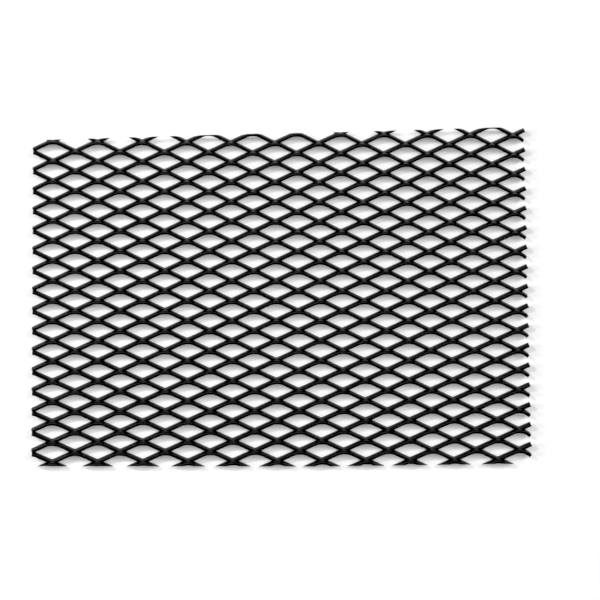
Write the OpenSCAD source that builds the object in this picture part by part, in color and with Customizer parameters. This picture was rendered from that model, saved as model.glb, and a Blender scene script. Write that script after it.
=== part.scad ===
// Raised expanded metal mesh: a rectangular piece with diamond openings, coated black.
// X runs along the long way of the openings, Y along the short way and Z up. The origin
// is the middle of the piece in plan, on the surface that the piece lies on.
// A press slits and stretches such a sheet one zigzag row of strands at a time. Each row
// is a node here, and it meets its neighbours face to face at the bonds.

/* [Openings] */
// Distance between neighbouring bonds along the long way of an opening
long_way = 10; // [9:0.5:12]
// Distance between neighbouring bonds along the short way of an opening
short_way = 4.5; // [4:0.1:5.5]
// Inner radius of the rounded arch at the back of an opening
arch_radius = 3.05; // [1.5:0.05:3.5]
// Inner radius of the pointed foot at the front of an opening
foot_radius = 0.3; // [0.2:0.05:0.8]
// Straight stretch across the middle of an arch
arch_flat = 0.2; // [0.1:0.05:0.6]
// Straight stretch across the middle of a foot
foot_flat = 0.16; // [0.1:0.02:0.4]

/* [Strands] */
// Width of a strand, which is what the press feeds forward for each slit
strand_width = 1.14; // [0.9:0.02:1.3]
// Thickness of a strand, which is the metal with its coating
strand_thickness = 0.68; // [0.4:0.02:0.8]

/* [Cut edges] */
// Number of strand rows, counting those that the back and front edges cut through
row_count = 35; // [11:2:51]
// Length of the piece along X, between the outermost strand ends
sheet_length = 112.3; // [60:0.1:160]
// How far the back edge lies behind the middle of the first row, at the right-hand end
back_margin = 0.78; // [0.6:0.02:1.2]
// How far the back edge comes forward from its right-hand end to its left-hand end
back_taper = 3.95; // [0:0.05:6]
// Where the front edge turns between its two straight cuts, along X
front_turn = 8.4; // [-20:0.1:20]
// How far the front edge lies in front of the middle of the last row, where it turns
front_margin = 0.08; // [0:0.02:0.2]
// How far the front edge goes backward from its turn to its left-hand end
front_left_taper = 0.46; // [0:0.02:0.6]
// How far the front edge goes backward from its turn to its right-hand end
front_right_taper = 0.3; // [0:0.02:0.6]
// How far the left edge leans inwards from its front end to its back end
left_lean = 0.1; // [0:0.05:1]
// Distance from the middle of the piece to the middle of its nearest opening, along X
opening_offset = -1.54; // [-2:0.02:0]
// How much shorter the falling stubs of the right edge are than the rising ones, at the front
stub_setback = 0.18; // [0:0.02:0.6]
// How much shorter still the falling stubs are at the back end of the right edge
stub_taper = 0.2; // [0:0.05:0.4]
// How far the shears bent the tips of the falling stubs forward
stub_droop = 0.35; // [0:0.05:0.6]

/* [Hidden] */
coating_colour = "#17181a";
arch_steps = 3; // straight facets on half an arch
foot_steps = 2; // straight facets on half a foot
stub_steps = 3; // straight facets on a bent stub
clear = 5; // how far a cutting shape reaches past the piece
shortest_facet = 0.05; // stops that lie closer to a cut end than this are left out
// The cuts leave more behind the middle row than in front of it, and this evens it out
middle_offset = 0.32;

half_way = long_way / 2;
row_step = short_way / 2;
rise = sqrt(pow(row_step, 2) - pow(strand_width, 2)); // foot to arch, across the strands
tilt = atan2(strand_width, rise); // lean of every strand out of the sheet
sheet_thickness = (2 * rise + strand_thickness) * strand_width / row_step;

// Middle line of a row: two arcs joined by a straight stretch that falls at the slope
arch_middle = arch_radius + strand_thickness / 2;
foot_middle = foot_radius + strand_thickness / 2;
arcs = arch_middle + foot_middle;
run = half_way - (arch_flat + foot_flat) / 2;
slope = asin(arcs / norm([run, rise - arcs])) - atan2(arcs - rise, run);
arch_reach = arch_middle * sin(slope);
foot_reach = foot_middle * sin(slope);

end_reach = strand_thickness / 2 * sin(slope); // of a square end, past its middle line
left_edge = -sheet_length / 2 + end_reach;
right_edge = sheet_length / 2 - end_reach;

function row_name(row) = str("strand_row_", row < 10 ? "0" : "", row);

// Middle of a row along Y, with the first row at the back
function row_y(row) = ((row_count + 1) / 2 - row) * row_step - middle_offset;

// Even rows have an arch at both side edges, and odd rows have a foot there
function arch_at_edge(row) = row % 2 == 0;

// Middle of one arch of a row, along X
function arch_x(row) = opening_offset + (arch_at_edge(row) ? half_way : 0);

// Slope and height of the middle line, at a distance from the middle of an arch
function fall_at(distance) =
    let (past_arch = distance - arch_flat / 2)
    let (before_foot = half_way - foot_flat / 2 - distance)
    past_arch <= 0 ? [0, rise / 2]
    : before_foot <= 0 ? [0, -rise / 2]
    : past_arch < arch_reach ? arc_fall(asin(past_arch / arch_middle), arch_middle, rise / 2, -1)
    : before_foot < foot_reach ? arc_fall(asin(before_foot / foot_middle), foot_middle, -rise / 2, 1)
    : [slope, straight_height(past_arch - arch_reach)];

function arc_fall(angle, radius, height, side) = [angle, height + side * radius * (1 - cos(angle))];

function straight_height(distance) =
    rise / 2 - arch_middle * (1 - cos(slope)) - distance * tan(slope);

// Distance along X from the nearest arch to the left, 0 to long_way
function past_arch_x(x, row) =
    let (distance = x - arch_x(row))
    distance - long_way * floor(distance / long_way);

// Last arch of an even row, where its falling stub starts
function last_arch_x(row) = right_end(row) - past_arch_x(right_end(row), row);

// How far a falling stub is bent forward, as a share of its length past the arch
function stub_share(x, row) =
    arch_at_edge(row) && x > last_arch_x(row)
    ? (x - last_arch_x(row)) / (right_end(row) - last_arch_x(row))
    : 0;

// A point of a row's outline: side is 1 for the back of the strand and -1 for the front
function outline_point(x, side, row) =
    let (wave = past_arch_x(x, row))
    let (falling = wave <= half_way)
    let (fall = fall_at(falling ? wave : long_way - wave))
    let (share = stub_share(x, row))
    let (stub_length = right_end(row) - last_arch_x(row))
    let (gradient = (falling ? -1 : 1) * tan(fall[0]) - 2 * stub_droop * share / stub_length)
    let (angle = atan(gradient))
    [x, fall[1] - stub_droop * pow(share, 2)]
        + side * strand_thickness / 2 * [-sin(angle), cos(angle)];

// Left end of a row. The edge leans from the last foot that reaches it, two rows from the front
function left_end(row) = left_edge + left_lean * (row_count - 2 - row) / row_count;

// Right end of a row. The last row stops at its last foot, in front of the front edge
function right_end(row) =
    row == row_count ? arch_x(row) + half_way + long_way * floor((right_edge - arch_x(row)) / long_way)
    : right_edge - (arch_at_edge(row) ? stub_setback + stub_taper * (row_count - row) / row_count : 0);

// Distances from an arch at which the middle line of a half wave changes direction
half_wave_stops = concat(
    [for (i = [0:arch_steps]) arch_flat / 2 + arch_middle * sin(slope * i / arch_steps)],
    [for (i = [foot_steps:-1:0]) half_way - foot_flat / 2 - foot_middle * sin(slope * i / foot_steps)]
);

// Stops of the half wave at each side of an arch, from left to right
wave_stops = concat(
    [for (i = [len(half_wave_stops) - 1:-1:0]) -half_wave_stops[i]],
    half_wave_stops
);

// Extra stops along the bent stub, past the arc of its arch
function stub_stops(row) =
    let (start = last_arch_x(row) + arch_flat / 2 + arch_reach)
    let (step = (right_end(row) - start) / stub_steps)
    arch_at_edge(row) ? [for (i = [1:stub_steps - 1]) start + i * step] : [];

// All stops of a row between its two cut ends, from left to right
function row_stops(row) =
    let (waves = ceil(sheet_length / long_way / 2) + 1)
    let (stops = [for (i = [-waves:waves]) for (stop = wave_stops) arch_x(row) + i * long_way + stop])
    let (first = left_end(row) + shortest_facet)
    let (last = right_end(row) - shortest_facet)
    concat(
        [left_end(row)],
        [for (x = stops) if (x > first && x < last) x],
        [for (x = stub_stops(row)) if (x < last) x],
        [right_end(row)]
    );

function row_outline(row) =
    let (stops = row_stops(row))
    concat(
        [for (x = stops) outline_point(x, 1, row)],
        [for (i = [len(stops) - 1:-1:0]) outline_point(stops[i], -1, row)]
    );

// Everything between the back and front edges of the cut piece
module kept_area() {
    side = sheet_length / 2;
    back = row_y(1) + back_margin;
    front = row_y(row_count) - front_margin;
    back_gradient = back_taper / sheet_length;
    left_gradient = front_left_taper / (side + front_turn);
    right_gradient = front_right_taper / (side - front_turn);
    translate([0, 0, -clear])
        linear_extrude(sheet_thickness + 2 * clear)
            polygon([
                [-side - clear, front + (side + clear + front_turn) * left_gradient],
                [front_turn, front],
                [side + clear, front + (side + clear - front_turn) * right_gradient],
                [side + clear, back + clear * back_gradient],
                [-side - clear, back - (sheet_length + clear) * back_gradient]
            ]);
}

// One zigzag row, leaning out of the sheet, with its ends cut square to the strands
module strand_row(row) {
    color(coating_colour)
        intersection() {
            translate([0, row_y(row), sheet_thickness / 2])
                rotate([tilt, 0, 0])
                    translate([0, 0, -strand_width / 2])
                        linear_extrude(strand_width)
                            polygon(row_outline(row));
            kept_area();
        }
}

for (row = [1:row_count]) strand_row(row);
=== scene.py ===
import math

import bmesh
import bpy
import numpy as np
from mathutils import Matrix, Vector, noise


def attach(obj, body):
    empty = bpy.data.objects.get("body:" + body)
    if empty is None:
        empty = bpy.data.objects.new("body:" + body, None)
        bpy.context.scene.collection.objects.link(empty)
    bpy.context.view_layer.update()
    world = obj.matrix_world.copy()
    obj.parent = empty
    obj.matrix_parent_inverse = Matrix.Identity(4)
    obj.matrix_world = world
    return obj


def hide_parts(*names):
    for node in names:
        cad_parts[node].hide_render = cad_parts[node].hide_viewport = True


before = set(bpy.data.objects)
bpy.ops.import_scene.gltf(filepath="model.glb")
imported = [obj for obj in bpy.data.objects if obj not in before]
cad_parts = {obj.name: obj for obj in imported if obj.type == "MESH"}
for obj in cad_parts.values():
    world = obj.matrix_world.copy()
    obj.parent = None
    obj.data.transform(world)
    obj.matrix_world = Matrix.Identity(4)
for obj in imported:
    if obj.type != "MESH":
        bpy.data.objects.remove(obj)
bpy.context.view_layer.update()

# A piece of black-coated raised expanded metal mesh. Every strand row is one piece, swept
# along the same middle line as its CAD row. Lengths are in metres, angles in radians.

MM = 0.001

# Openings and strands, as in the CAD source
LONG_WAY = 10 * MM
SHORT_WAY = 4.5 * MM
ARCH_RADIUS = 3.05 * MM
FOOT_RADIUS = 0.3 * MM
ARCH_FLAT = 0.2 * MM
FOOT_FLAT = 0.16 * MM
STRAND_WIDTH = 1.14 * MM
STRAND_THICKNESS = 0.68 * MM

# Cut edges, as in the CAD source
SHEET_LENGTH = 112.3 * MM
BACK_MARGIN = 0.78 * MM
BACK_TAPER = 3.95 * MM
FRONT_TURN = 8.4 * MM
FRONT_MARGIN = 0.08 * MM
FRONT_LEFT_TAPER = 0.46 * MM
FRONT_RIGHT_TAPER = 0.3 * MM
LEFT_LEAN = 0.1 * MM
OPENING_OFFSET = -1.54 * MM
STUB_SETBACK = 0.18 * MM
STUB_TAPER = 0.2 * MM
STUB_DROOP = 0.35 * MM
MIDDLE_OFFSET = 0.32 * MM

# Derived sizes, as in the CAD source
HALF_WAY = LONG_WAY / 2
ROW_STEP = SHORT_WAY / 2
RISE = math.sqrt(ROW_STEP**2 - STRAND_WIDTH**2)
TILT = math.atan2(STRAND_WIDTH, RISE)
SHEET_THICKNESS = (2 * RISE + STRAND_THICKNESS) * STRAND_WIDTH / ROW_STEP
ARCH_MIDDLE = ARCH_RADIUS + STRAND_THICKNESS / 2
FOOT_MIDDLE = FOOT_RADIUS + STRAND_THICKNESS / 2
ARCS = ARCH_MIDDLE + FOOT_MIDDLE
RUN = HALF_WAY - (ARCH_FLAT + FOOT_FLAT) / 2
SLOPE = math.asin(ARCS / math.hypot(RUN, RISE - ARCS)) - math.atan2(ARCS - RISE, RUN)
ARCH_REACH = ARCH_MIDDLE * math.sin(SLOPE)
FOOT_REACH = FOOT_MIDDLE * math.sin(SLOPE)
END_REACH = STRAND_THICKNESS / 2 * math.sin(SLOPE)
LEFT_EDGE = -SHEET_LENGTH / 2 + END_REACH
RIGHT_EDGE = SHEET_LENGTH / 2 - END_REACH

# A strand's corners: the press rolls over the back top and front under ones, and the coating
# rounds the others. Where a neighbouring row covers a corner it stays sharp.
CORNER_SIGNS = ((1, 1), (-1, 1), (-1, -1), (1, -1))  # back top, front top, front under, back under
CORNER_RADII = (0.30 * MM, 0.07 * MM, 0.15 * MM, 0.07 * MM)
COVERED_RADIUS = 0.01 * MM
CORNER_POINTS = 4
COVERED_REACH = 1.05 * MM  # from the middle of a bond to where the rows part
COVERED_RAMP = 0.7 * MM
FLUSH_REACH = 0.3 * MM  # from the middle of a bond to where the flush sides part
FLUSH_RAMP = 0.9 * MM
UNCOVERED = 10 * LONG_WAY  # distance to a bond, for a row without a neighbour on that side

# Rounding of a strand's cut ends
END_ROUNDING = 0.05 * MM
END_STEPS = 2
END_CLEAR = 3 * END_ROUNDING  # from a cut end to where the rings of the wave may start

# Stops along half a wave
ARCH_STEPS = 8
FOOT_STEPS = 4
STRAIGHT_STEPS = 9
STOP_DIGITS = 9  # decimals, in metres, that tell two stops apart

# Unevenness of the coating, out of its surface and along it
COATING_WAVE = 0.012 * MM
COATING_WAVE_LENGTH = 1.6 * MM
CORNER_WAVE_SHARE = 0.2  # of the wave, added to the edge share of a corner's points

CUT_TOLERANCE = 1e-9  # how near a point lies to a cut to be on it

ROW_NAMES = sorted(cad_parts)
ROW_COUNT = len(ROW_NAMES)


def row_y(row):
    """Middle of a row along Y, with the first row at the back."""
    return ((ROW_COUNT + 1) / 2 - row) * ROW_STEP - MIDDLE_OFFSET


def arch_at_edge(row):
    """Even rows have an arch at both side edges, and odd rows have a foot there."""
    return row % 2 == 0


def arch_x(row):
    """Middle of one arch of a row, along X."""
    return OPENING_OFFSET + (HALF_WAY if arch_at_edge(row) else 0)


def straight_height(distance):
    """Height of the middle line, at a distance past the arc of an arch."""
    return RISE / 2 - ARCH_MIDDLE * (1 - math.cos(SLOPE)) - distance * math.tan(SLOPE)


def fall_at(distance):
    """Slope and height of the middle line, at a distance from the middle of an arch."""
    past_arch = distance - ARCH_FLAT / 2
    before_foot = HALF_WAY - FOOT_FLAT / 2 - distance
    if past_arch <= 0:
        return 0, RISE / 2
    if before_foot <= 0:
        return 0, -RISE / 2
    if past_arch < ARCH_REACH:
        angle = math.asin(past_arch / ARCH_MIDDLE)
        return angle, RISE / 2 - ARCH_MIDDLE * (1 - math.cos(angle))
    if before_foot < FOOT_REACH:
        angle = math.asin(before_foot / FOOT_MIDDLE)
        return angle, -RISE / 2 + FOOT_MIDDLE * (1 - math.cos(angle))
    return SLOPE, straight_height(past_arch - ARCH_REACH)


def left_end(row):
    """Left end of a row, on an edge that leans inwards towards the back."""
    return LEFT_EDGE + LEFT_LEAN * (ROW_COUNT - 2 - row) / ROW_COUNT


def right_end(row):
    """Right end of a row. The last row stops at its last foot, and falling stubs are shorter."""
    if row == ROW_COUNT:
        waves = math.floor((RIGHT_EDGE - arch_x(row)) / LONG_WAY)
        return arch_x(row) + HALF_WAY + LONG_WAY * waves
    if arch_at_edge(row):
        return RIGHT_EDGE - STUB_SETBACK - STUB_TAPER * (ROW_COUNT - row) / ROW_COUNT
    return RIGHT_EDGE


def middle_line(x, row):
    """Height and gradient of a row's middle line, with its falling stub bent forward."""
    wave = (x - arch_x(row)) % LONG_WAY
    falling = wave <= HALF_WAY
    slope, height = fall_at(wave if falling else LONG_WAY - wave)
    gradient = (-1 if falling else 1) * math.tan(slope)
    end = right_end(row)
    last_arch = end - (end - arch_x(row)) % LONG_WAY
    if arch_at_edge(row) and x > last_arch:
        share = (x - last_arch) / (end - last_arch)
        height -= STUB_DROOP * share**2
        gradient -= 2 * STUB_DROOP * share / (end - last_arch)
    return height, gradient


def half_wave_stops():
    """Distances from an arch at which half a wave gets a ring of points."""
    arch_end = ARCH_FLAT / 2 + ARCH_REACH
    foot_start = HALF_WAY - FOOT_FLAT / 2 - FOOT_REACH
    stops = [0]
    for i in range(ARCH_STEPS + 1):
        stops.append(ARCH_FLAT / 2 + ARCH_MIDDLE * math.sin(SLOPE * i / ARCH_STEPS))
    for i in range(1, STRAIGHT_STEPS):
        share = math.sin(math.pi / 2 * i / STRAIGHT_STEPS)
        stops.append(arch_end + (foot_start - arch_end) * share)
    for i in range(FOOT_STEPS, -1, -1):
        reach = FOOT_MIDDLE * math.sin(SLOPE * i / FOOT_STEPS)
        stops.append(HALF_WAY - FOOT_FLAT / 2 - reach)
    stops.append(HALF_WAY)
    return stops


def row_stops(row):
    """Where a row gets its rings of points along X, apart from the rounding at its ends."""
    half = half_wave_stops()
    wave = sorted({round(s, STOP_DIGITS) for s in [-s for s in half] + half})[:-1]
    first = left_end(row) + END_CLEAR
    last = right_end(row) - END_CLEAR
    waves = math.ceil(SHEET_LENGTH / LONG_WAY / 2) + 1
    stops = [arch_x(row) + i * LONG_WAY + s for i in range(-waves, waves + 1) for s in wave]
    return [x for x in stops if first < x < last]


def ramp(value, start, length):
    """Rises smoothly from 0 at the start to 1 a length further on."""
    share = min(max((value - start) / length, 0), 1)
    return share * share * (3 - 2 * share)


def corner_radii(x, row):
    """Radii of a strand's four corners at a place along its row.

    Top is the side that meets the next row at a foot, and under is the side that meets the
    row before at an arch.
    """
    to_arch = abs((x - arch_x(row) + HALF_WAY) % LONG_WAY - HALF_WAY)
    to_foot = HALF_WAY - to_arch
    to_next = to_foot if row < ROW_COUNT else UNCOVERED
    to_previous = to_arch if row > 1 else UNCOVERED
    shares = (
        ramp(to_next, FLUSH_REACH, FLUSH_RAMP),
        ramp(to_next, COVERED_REACH, COVERED_RAMP),
        ramp(to_previous, FLUSH_REACH, FLUSH_RAMP),
        ramp(to_previous, COVERED_REACH, COVERED_RAMP),
    )
    return [
        COVERED_RADIUS + (radius - COVERED_RADIUS) * share
        for radius, share in zip(CORNER_RADII, shares)
    ]


def section(x, row, inset):
    """Points, normals and edge shares of a strand's section.

    Points and normals are pairs: across the strand towards the back, and along its width
    towards the top. The inset draws the section in, for the rounding of a cut end.
    """
    points = []
    normals = []
    edges = []
    for (side, top), radius in zip(CORNER_SIGNS, corner_radii(x, row)):
        rounding = max(radius - inset, COVERED_RADIUS)
        middle_across = side * (STRAND_THICKNESS / 2 - inset - rounding)
        middle_up = top * (STRAND_WIDTH / 2 - inset - rounding)
        for i in range(CORNER_POINTS):
            share = i / (CORNER_POINTS - 1)
            if side * top < 0:
                share = 1 - share
            turn = math.pi / 2 * share
            normal = (side * math.cos(turn), top * math.sin(turn))
            points.append((middle_across + rounding * normal[0], middle_up + rounding * normal[1]))
            normals.append(normal)
            edges.append(math.sin(math.pi * share) * min(radius / min(CORNER_RADII), 1))
    return points, normals, edges


def swell(point):
    """Unevenness of the coating at a point of the sheet, on which touching rows agree."""
    return COATING_WAVE * noise.noise(point / COATING_WAVE_LENGTH)


def row_rings(row):
    """Every ring of a row: middle point, tangent angle, section, and whether it is a cut end.

    The rings at the two ends shrink along a quarter circle, which rounds the cut ends.
    """
    rings = []

    def add(x, shift, inset, cut):
        height, gradient = middle_line(x, row)
        angle = math.atan(gradient)
        centre = (x + shift * math.cos(angle), height + shift * math.sin(angle))
        rings.append((centre, angle, section(x, row, inset), cut))

    def add_rounded(x, side, turn):
        shift = side * END_ROUNDING * (1 - math.sin(turn))
        inset = END_ROUNDING * (1 - math.cos(turn))
        add(x, shift, inset, 1)

    quarter = [math.pi / 2 * i / END_STEPS for i in range(END_STEPS + 1)]
    for turn in reversed(quarter):
        add_rounded(left_end(row), 1, turn)
    for x in row_stops(row):
        add(x, 0, 0, 0)
    for turn in quarter:
        add_rounded(right_end(row), -1, turn)
    return rings


def row_mesh(row):
    """A bmesh of one whole row, with the smooth normal, edge and cut shares as layers."""
    made = bmesh.new()
    normal_layer = made.verts.layers.float_vector.new("shade_normal")
    edge_layer = made.verts.layers.float.new("edge")
    cut_layer = made.verts.layers.float.new("cut")
    cap_layer = made.faces.layers.int.new("cap")
    backward = Vector((0, math.cos(TILT), math.sin(TILT)))  # from foot to arch
    upward = Vector((0, -math.sin(TILT), math.cos(TILT)))  # along the strand's width
    middle = Vector((0, row_y(row), SHEET_THICKNESS / 2))
    loops = []
    for centre, angle, (points, normals, edges), cut in row_rings(row):
        across = Vector((-math.sin(angle), 0, 0)) + math.cos(angle) * backward
        base = middle + Vector((centre[0], 0, 0)) + centre[1] * backward
        loop = []
        for point, point_normal, edge in zip(points, normals, edges):
            normal = point_normal[0] * across + point_normal[1] * upward
            place = base + point[0] * across + point[1] * upward
            wave_share = edge + CORNER_WAVE_SHARE if edge else 0
            vert = made.verts.new(place + swell(place) * normal * wave_share)
            vert[normal_layer] = normal
            vert[edge_layer] = edge
            vert[cut_layer] = cut
            loop.append(vert)
        loops.append(loop)
    count = len(loops[0])
    for one, two in zip(loops, loops[1:]):
        for i in range(count):
            j = (i + 1) % count
            made.faces.new((one[i], one[j], two[j], two[i]))
    for loop in (loops[0], loops[-1][::-1]):
        made.faces.new(loop[::-1])[cap_layer] = 1
    made.normal_update()
    if made.calc_volume(signed=True) < 0:
        bmesh.ops.reverse_faces(made, faces=made.faces)
    return made


def cut_planes():
    """The straight cuts of the back and front, each as a point and what is cut away from it."""
    side = SHEET_LENGTH / 2
    back = Vector((side, row_y(1) + BACK_MARGIN, 0))
    turn = Vector((FRONT_TURN, row_y(ROW_COUNT) - FRONT_MARGIN, 0))
    return (
        (back, Vector((-BACK_TAPER, SHEET_LENGTH, 0)).normalized()),
        (turn, Vector((-FRONT_LEFT_TAPER, -side - FRONT_TURN, 0)).normalized()),
        (turn, Vector((FRONT_RIGHT_TAPER, -side + FRONT_TURN, 0)).normalized()),
    )


def cut_row(made):
    """Cuts a row along the back and front edges, and closes it there."""
    cap_layer = made.faces.layers.int["cap"]
    cut_layer = made.verts.layers.float["cut"]
    for point, away in cut_planes():
        if max((v.co - point).dot(away) for v in made.verts) <= 0:
            continue
        bmesh.ops.bisect_plane(
            made,
            geom=made.verts[:] + made.edges[:] + made.faces[:],
            dist=CUT_TOLERANCE,
            plane_co=point,
            plane_no=away,
            clear_outer=True,
        )
        open_edges = [e for e in made.edges if e.is_boundary]
        for face in bmesh.ops.holes_fill(made, edges=open_edges, sides=0)["faces"]:
            face[cap_layer] = 1
            for vert in face.verts:
                vert[cut_layer] = 1
    bmesh.ops.recalc_face_normals(made, faces=made.faces)


def row_object(row, name):
    """One row as an object. Its cut faces are flat, and the rest is shaded as smooth."""
    made = row_mesh(row)
    cut_row(made)
    mesh = bpy.data.meshes.new(name)
    made.to_mesh(mesh)
    made.free()
    smooth = np.empty(len(mesh.vertices) * 3, np.float32)
    mesh.attributes["shade_normal"].data.foreach_get("vector", smooth)
    smooth = smooth.reshape(-1, 3)
    smooth /= np.linalg.norm(smooth, axis=1)[:, None]
    loop_vert = np.empty(len(mesh.loops), np.int32)
    mesh.loops.foreach_get("vertex_index", loop_vert)
    loop_normal = smooth[loop_vert]
    for face in mesh.polygons:
        if mesh.attributes["cap"].data[face.index].value:
            loop_normal[face.loop_start : face.loop_start + face.loop_total] = face.normal
    mesh.polygons.foreach_set("use_smooth", [True] * len(mesh.polygons))
    mesh.normals_split_custom_set(loop_normal.tolist())
    mesh.attributes.remove(mesh.attributes["shade_normal"])
    mesh.attributes.remove(mesh.attributes["cap"])
    mesh.validate()
    piece = bpy.data.objects.new(name, mesh)
    bpy.context.scene.collection.objects.link(piece)
    return piece


class Nodes:
    """Short calls that make and join the nodes of one material."""

    def __init__(self, name):
        self.material = bpy.data.materials.new(name)
        self.material.use_nodes = True
        self.tree = self.material.node_tree
        self.shader = self.tree.nodes["Principled BSDF"]

    def set(self, socket, value):
        if isinstance(value, bpy.types.NodeSocket):
            self.tree.links.new(value, socket)
        else:
            socket.default_value = value

    def add(self, kind, inputs=(), **settings):
        node = self.tree.nodes.new(kind)
        for key, value in settings.items():
            setattr(node, key, value)
        for key, value in dict(inputs).items():
            self.set(node.inputs[key], value)
        return node

    def noise(self, place, scale, detail=2.0, roughness=0.5):
        inputs = {"Vector": place, "Scale": scale, "Detail": detail, "Roughness": roughness}
        return self.add("ShaderNodeTexNoise", inputs).outputs["Fac"]

    def range(self, value, from_low, from_high, to_low, to_high):
        inputs = {"Value": value, "From Min": from_low, "From Max": from_high}
        inputs |= {"To Min": to_low, "To Max": to_high}
        return self.add("ShaderNodeMapRange", inputs).outputs["Result"]

    def maths(self, operation, one, two):
        inputs = {0: one, 1: two}
        return self.add("ShaderNodeMath", inputs, operation=operation).outputs["Value"]

    def mix(self, share, one, two):
        node = self.add("ShaderNodeMix", {"Factor": share}, data_type="RGBA")
        self.set(node.inputs["A"], one)
        self.set(node.inputs["B"], two)
        return node.outputs["Result"]

    def bump(self, height, distance, strength=1.0, normal=None):
        inputs = {"Height": height, "Distance": distance, "Strength": strength}
        if normal is not None:
            inputs["Normal"] = normal
        return self.add("ShaderNodeBump", inputs).outputs["Normal"]


# Where a noise texture, which runs from 0 to 1, has most of its values
NOISE_SPAN = (0.3, 0.7)
FULL = (0.0, 1.0)

# Noise textures of the coating: scale per millimetre, detail and roughness
CLOUDS = (0.22, 3.0)
PEEL = (3.2, 1.5)
GRIT = (16.0, 3.0, 0.6)
WEAR = (1.1, 4.0, 0.65)

# Colours of the coating, and how much of each the textures let through
DEEP_BLACK = (0.0028, 0.0029, 0.0034, 1)
PALE_BLACK = (0.0062, 0.0060, 0.0058, 1)
GRIT_COLOUR = (0.012, 0.012, 0.012, 1)
WORN_COLOUR = (0.020, 0.020, 0.019, 1)
CUT_COLOUR = (0.022, 0.022, 0.022, 1)
GRIT_SPAN = (0.55, 0.8)
GRIT_SHARE = (0.0, 0.35)
WEAR_SPAN = (0.50, 0.66)
WORN_SHARE = 0.55
CUT_SPAN = (0.35, 0.65)
CUT_SHARE = (0.25, 0.9)

# Gloss of the coating
PEEL_ROUGHNESS = (0.20, 0.26)
GRIT_ROUGHNESS = (-0.03, 0.05)  # added to that of the peel
WORN_POLISH = 0.07
CUT_ROUGHNESS = 0.12
COATING_IOR = 1.5
COATING_SPECULAR = 0.15

# Height and strength of the coating's bumps
PEEL_BUMP = (0.012 * MM, 0.8)
GRIT_BUMP = (0.002 * MM, 0.6)


def coating_material():
    """Black semi-gloss powder coating: orange peel, fine grit, thinner at edges and cuts."""
    nodes = Nodes("black_powder_coating")
    place = nodes.add("ShaderNodeTexCoord").outputs["Object"]
    millimetres = nodes.add("ShaderNodeVectorMath", {0: place}, operation="SCALE")
    millimetres.inputs["Scale"].default_value = 1 / MM
    place = millimetres.outputs["Vector"]
    edge = nodes.add("ShaderNodeAttribute", attribute_name="edge").outputs["Fac"]
    cut = nodes.add("ShaderNodeAttribute", attribute_name="cut").outputs["Fac"]

    clouds = nodes.noise(place, *CLOUDS)
    peel = nodes.noise(place, *PEEL)
    grit = nodes.noise(place, *GRIT)
    worn = nodes.range(nodes.noise(place, *WEAR), *WEAR_SPAN, *FULL)

    colour = nodes.mix(nodes.range(clouds, *NOISE_SPAN, *FULL), DEEP_BLACK, PALE_BLACK)
    colour = nodes.mix(nodes.range(grit, *GRIT_SPAN, *GRIT_SHARE), colour, GRIT_COLOUR)
    edge_worn = nodes.maths("MULTIPLY", edge, worn)
    colour = nodes.mix(nodes.maths("MULTIPLY", edge_worn, WORN_SHARE), colour, WORN_COLOUR)
    cut_worn = nodes.maths("MULTIPLY", cut, nodes.range(grit, *CUT_SPAN, *CUT_SHARE))
    colour = nodes.mix(cut_worn, colour, CUT_COLOUR)
    nodes.set(nodes.shader.inputs["Base Color"], colour)

    rough = nodes.range(peel, *NOISE_SPAN, *PEEL_ROUGHNESS)
    rough = nodes.maths("ADD", rough, nodes.range(grit, *NOISE_SPAN, *GRIT_ROUGHNESS))
    rough = nodes.maths("SUBTRACT", rough, nodes.maths("MULTIPLY", edge_worn, WORN_POLISH))
    rough = nodes.maths("ADD", rough, nodes.maths("MULTIPLY", cut, CUT_ROUGHNESS))
    nodes.set(nodes.shader.inputs["Roughness"], rough)
    nodes.shader.inputs["IOR"].default_value = COATING_IOR
    nodes.shader.inputs["Specular IOR Level"].default_value = COATING_SPECULAR

    normal = nodes.bump(peel, *PEEL_BUMP)
    normal = nodes.bump(grit, *GRIT_BUMP, normal)
    nodes.set(nodes.shader.inputs["Normal"], normal)
    return nodes.material


# Floor: a square of white paper, its side in metres, and its noise per metre
FLOOR_SIZE = 6.0
PAPER_CLOUDS = (6.0, 2.0)
COOL_PAPER = (0.86, 0.865, 0.87, 1)
PAPER = (0.88, 0.88, 0.88, 1)
PAPER_ROUGHNESS = 0.7
PAPER_SPECULAR = 0.2


def floor_material():
    """White paper with a faint, cloudy change of tone."""
    nodes = Nodes("white_paper")
    place = nodes.add("ShaderNodeTexCoord").outputs["Object"]
    tone = nodes.range(nodes.noise(place, *PAPER_CLOUDS), *NOISE_SPAN, *FULL)
    nodes.set(nodes.shader.inputs["Base Color"], nodes.mix(tone, COOL_PAPER, PAPER))
    nodes.shader.inputs["Roughness"].default_value = PAPER_ROUGHNESS
    nodes.shader.inputs["Specular IOR Level"].default_value = PAPER_SPECULAR
    return nodes.material


def floor():
    """The plain pale floor that the piece lies on."""
    mesh = bpy.data.meshes.new("floor")
    half = FLOOR_SIZE / 2
    corners = [(-half, -half, 0), (half, -half, 0), (half, half, 0), (-half, half, 0)]
    mesh.from_pydata(corners, [], [(0, 1, 2, 3)])
    mesh.materials.append(floor_material())
    made = bpy.data.objects.new("floor", mesh)
    bpy.context.scene.collection.objects.link(made)


# Camera: where it stands, the directions of its back and its top, lens and sensor in
# millimetres, and the distances in metres that it sees
CAMERA_PLACE = Vector((-44.152, -54.248, 479.275)) * MM
CAMERA_BACK = Vector((-0.099288, -0.109693, 0.988994))
CAMERA_UP = Vector((-0.000891, 0.993915, 0.110149))
CAMERA_LENS = 128.735
CAMERA_SENSOR = 36.0
CAMERA_NEAR = 0.01
CAMERA_FAR = 20


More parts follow.
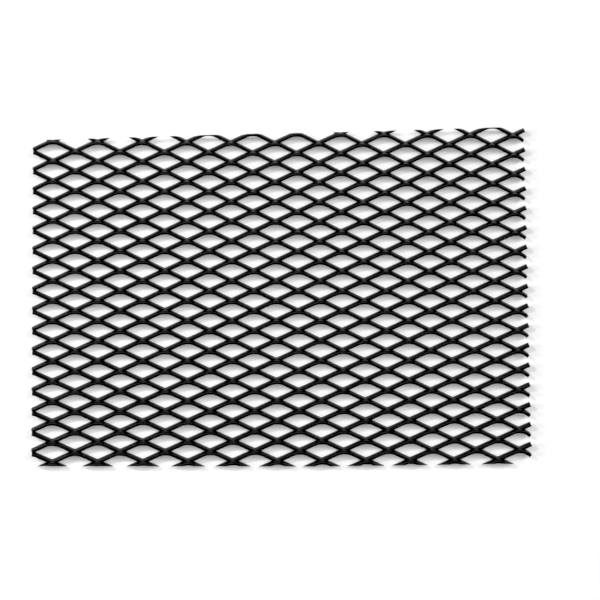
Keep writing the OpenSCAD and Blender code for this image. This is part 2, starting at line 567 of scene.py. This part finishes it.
def camera():
    """The camera, which looks down on the piece from a little in front and to the left."""
    data = bpy.data.cameras.new("camera")
    data.lens = CAMERA_LENS
    data.sensor_width = CAMERA_SENSOR
    data.clip_start = CAMERA_NEAR
    data.clip_end = CAMERA_FAR
    made = bpy.data.objects.new("camera", data)
    bpy.context.scene.collection.objects.link(made)
    back = CAMERA_BACK.normalized()
    right = CAMERA_UP.cross(back).normalized()
    turn = Matrix((right, back.cross(right), back)).transposed()
    made.matrix_world = Matrix.Translation(CAMERA_PLACE) @ turn.to_4x4()
    bpy.context.scene.camera = made


def softbox(name, place, size, power):
    """A round area light that faces the middle of the piece."""
    data = bpy.data.lights.new(name, "AREA")
    data.shape = "DISK"
    data.size = size
    data.energy = power
    made = bpy.data.objects.new(name, data)
    bpy.context.scene.collection.objects.link(made)
    made.location = place
    made.rotation_mode = "QUATERNION"
    made.rotation_quaternion = Vector(place).to_track_quat("Z", "Y")


WORLD_LIGHT = 0.03
BLACK_LEVEL = 0.009  # tones below this come out as black

# Soft lights: place and size in metres, power in watts
TOP_LIGHT = ((0.0, -0.02, 0.80), 0.60, 2.40)
FRONT_TOP_LIGHT = ((-0.15, -0.25, 0.95), 0.50, 2.00)
KEY_LIGHT = ((-0.42, 0.20, 0.42), 0.06, 1.50)
LOW_LEFT_LIGHT = ((-0.83, 0.0, 0.34), 0.36, 4.20)
RIGHT_LIGHT = ((0.62, 0.25, 0.66), 0.40, 3.40)


def lights():
    """Soft studio light from all round, and the tones of the view."""
    softbox("top", *TOP_LIGHT)
    softbox("front_top", *FRONT_TOP_LIGHT)
    softbox("key", *KEY_LIGHT)
    softbox("low_left", *LOW_LEFT_LIGHT)
    softbox("right", *RIGHT_LIGHT)
    world = bpy.data.worlds.new("studio")
    world.use_nodes = True
    background = world.node_tree.nodes["Background"]
    background.inputs["Color"].default_value = (1, 1, 1, 1)
    background.inputs["Strength"].default_value = WORLD_LIGHT
    bpy.context.scene.world = world
    view = bpy.context.scene.view_settings
    view.view_transform = "Standard"
    view.use_curve_mapping = True
    view.curve_mapping.black_level = (BLACK_LEVEL,) * 3


coating = coating_material()
for number, node in enumerate(ROW_NAMES, 1):
    strand = row_object(number, node + "_coated")
    strand.data.materials.append(coating)
    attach(strand, "root")
    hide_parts(node)

floor()
lights()
camera()
